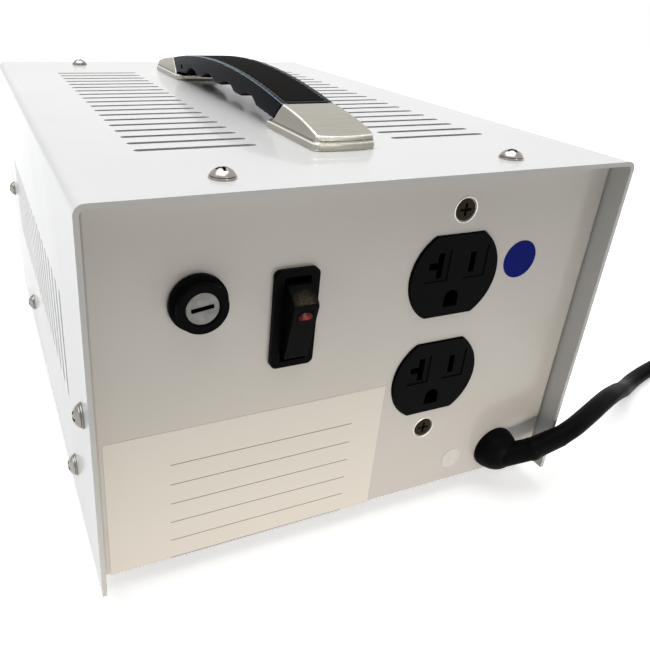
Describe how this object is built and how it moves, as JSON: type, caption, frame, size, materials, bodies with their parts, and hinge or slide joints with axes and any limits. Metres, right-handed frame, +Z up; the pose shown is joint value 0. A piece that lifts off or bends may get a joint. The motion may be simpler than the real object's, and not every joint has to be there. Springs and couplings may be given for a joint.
{
  "type": "step-down autotransformer",
  "caption": "Folded sheet steel case with a carrying handle, double outlet, rocker switch, fuse holder and captive supply cord, round a clamped toroidal autotransformer.",
  "frame": {"origin": "middle of the case footprint, on the surface that the feet stand on", "axes": "+X to the right seen from the front, +Y to the rear, +Z up; the control panel faces -Y"},
  "size_m": [0.4084, 0.333, 0.1512],
  "materials": {
    "case_white": "light powder coat with a soft sheen",
    "zinc": "zinc plated",
    "cap_metal": "brushed and lightly bevelled",
    "grip_black": "moulded with a soft gloss",
    "pad_black": "fine matte grain",
    "spring_steel": "plain strip",
    "rubber_black": "matte",
    "black_plastic": "smooth moulded",
    "matte_black": "fine moulded grain",
    "grey_plastic": "smooth",
    "lens_red": "clear red",
    "brass_contact": "plain",
    "bronze_screw": "dark and slightly worn",
    "fuse_glass": "clear",
    "cord_black": "matte sheath",
    "label_cream": "printed film, bare",
    "dot_blue": "printed film",
    "sticker_pale": "printed film",
    "core_steel": "wound strip",
    "winding_copper": "enamelled wire under clear tape",
    "ivory_plastic": "moulded",
    "wire_brown": "smooth",
    "wire_blue": "smooth",
    "wire_green": "smooth"
  },
  "bodies": {
    "case": {"cover": "case_white", "chassis": "case_white", "cover_screws": "zinc", "cover_washers": "zinc", "clinch_nuts": "zinc", "feet": "rubber_black", "foot_screws": "zinc", "foot_nuts": "zinc", "handle_cap_front": "cap_metal", "handle_cap_rear": "cap_metal", "handle_screws": "zinc", "fuse_holder": "matte_black", "fuse_holder_nut": "matte_black", "fuse_terminals": "brass_contact", "switch_housing": "black_plastic", "switch_terminals": "brass_contact", "outlet_face": "matte_black", "outlet_back": "matte_black", "outlet_strap": "zinc", "outlet_line_contact": "brass_contact", "outlet_neutral_contact": "brass_contact", "outlet_earth_contact": "brass_contact", "outlet_terminals": "brass_contact", "outlet_screws": "bronze_screw", "outlet_nuts": "zinc", "strain_relief": "rubber_black", "strain_relief_nut": "matte_black", "cord_tail": "cord_black", "power_cord": "cord_black", "cord_coil": "cord_black", "coil_tie": "matte_black", "plug_body": "rubber_black", "plug_pins": "brass_contact", "rating_label": "label_cream", "blue_dot": "dot_blue", "round_sticker": "sticker_pale", "toroid_core": "core_steel", "toroid_winding": "winding_copper", "lower_pad": "rubber_black", "upper_pad": "rubber_black", "clamp_plate": "zinc", "clamp_bolt": "zinc", "clamp_nut": "zinc", "terminal_block": "ivory_plastic", "terminal_screws": "brass_contact", "earth_stud": "brass_contact", "earth_nut": "brass_contact", "active_wires": "wire_brown", "neutral_wires": "wire_blue", "earth_wires": "wire_green"},
    "handle": {"handle_strip": "spring_steel", "handle_grip": "grip_black", "grip_pad": "pad_black"},
    "fuse_plug": {"fuse_carrier": "matte_black", "fuse_glass": "fuse_glass", "fuse_end_caps": "zinc", "fuse_wire": "zinc"},
    "fuse_knob": {"fuse_cap": "grey_plastic"},
    "switch_rocker": {"rocker": "black_plastic", "rocker_lens": "lens_red"}
  },
  "joints": [
    {"name": "handle_lift", "type": "slide", "parent": "case", "child": "handle", "axis": [0, 0, 1], "range_m": [0, 0.0015]},
    {"name": "fuse_carrier_draw", "type": "slide", "parent": "case", "child": "fuse_plug", "axis": [0, -1, 0], "range_m": [0, 0.0413]},
    {"name": "fuse_cap_turn", "type": "hinge", "parent": "fuse_plug", "child": "fuse_knob", "pos_m": [-0.0577, -0.12, 0.1025], "axis": [0, -1, 0], "range_deg": [0, 90]},
    {"name": "rocker_tilt", "type": "hinge", "parent": "case", "child": "switch_rocker", "pos_m": [-0.028, -0.118, 0.093], "axis": [1, 0, 0], "range_deg": [0, 18]}
  ]
}
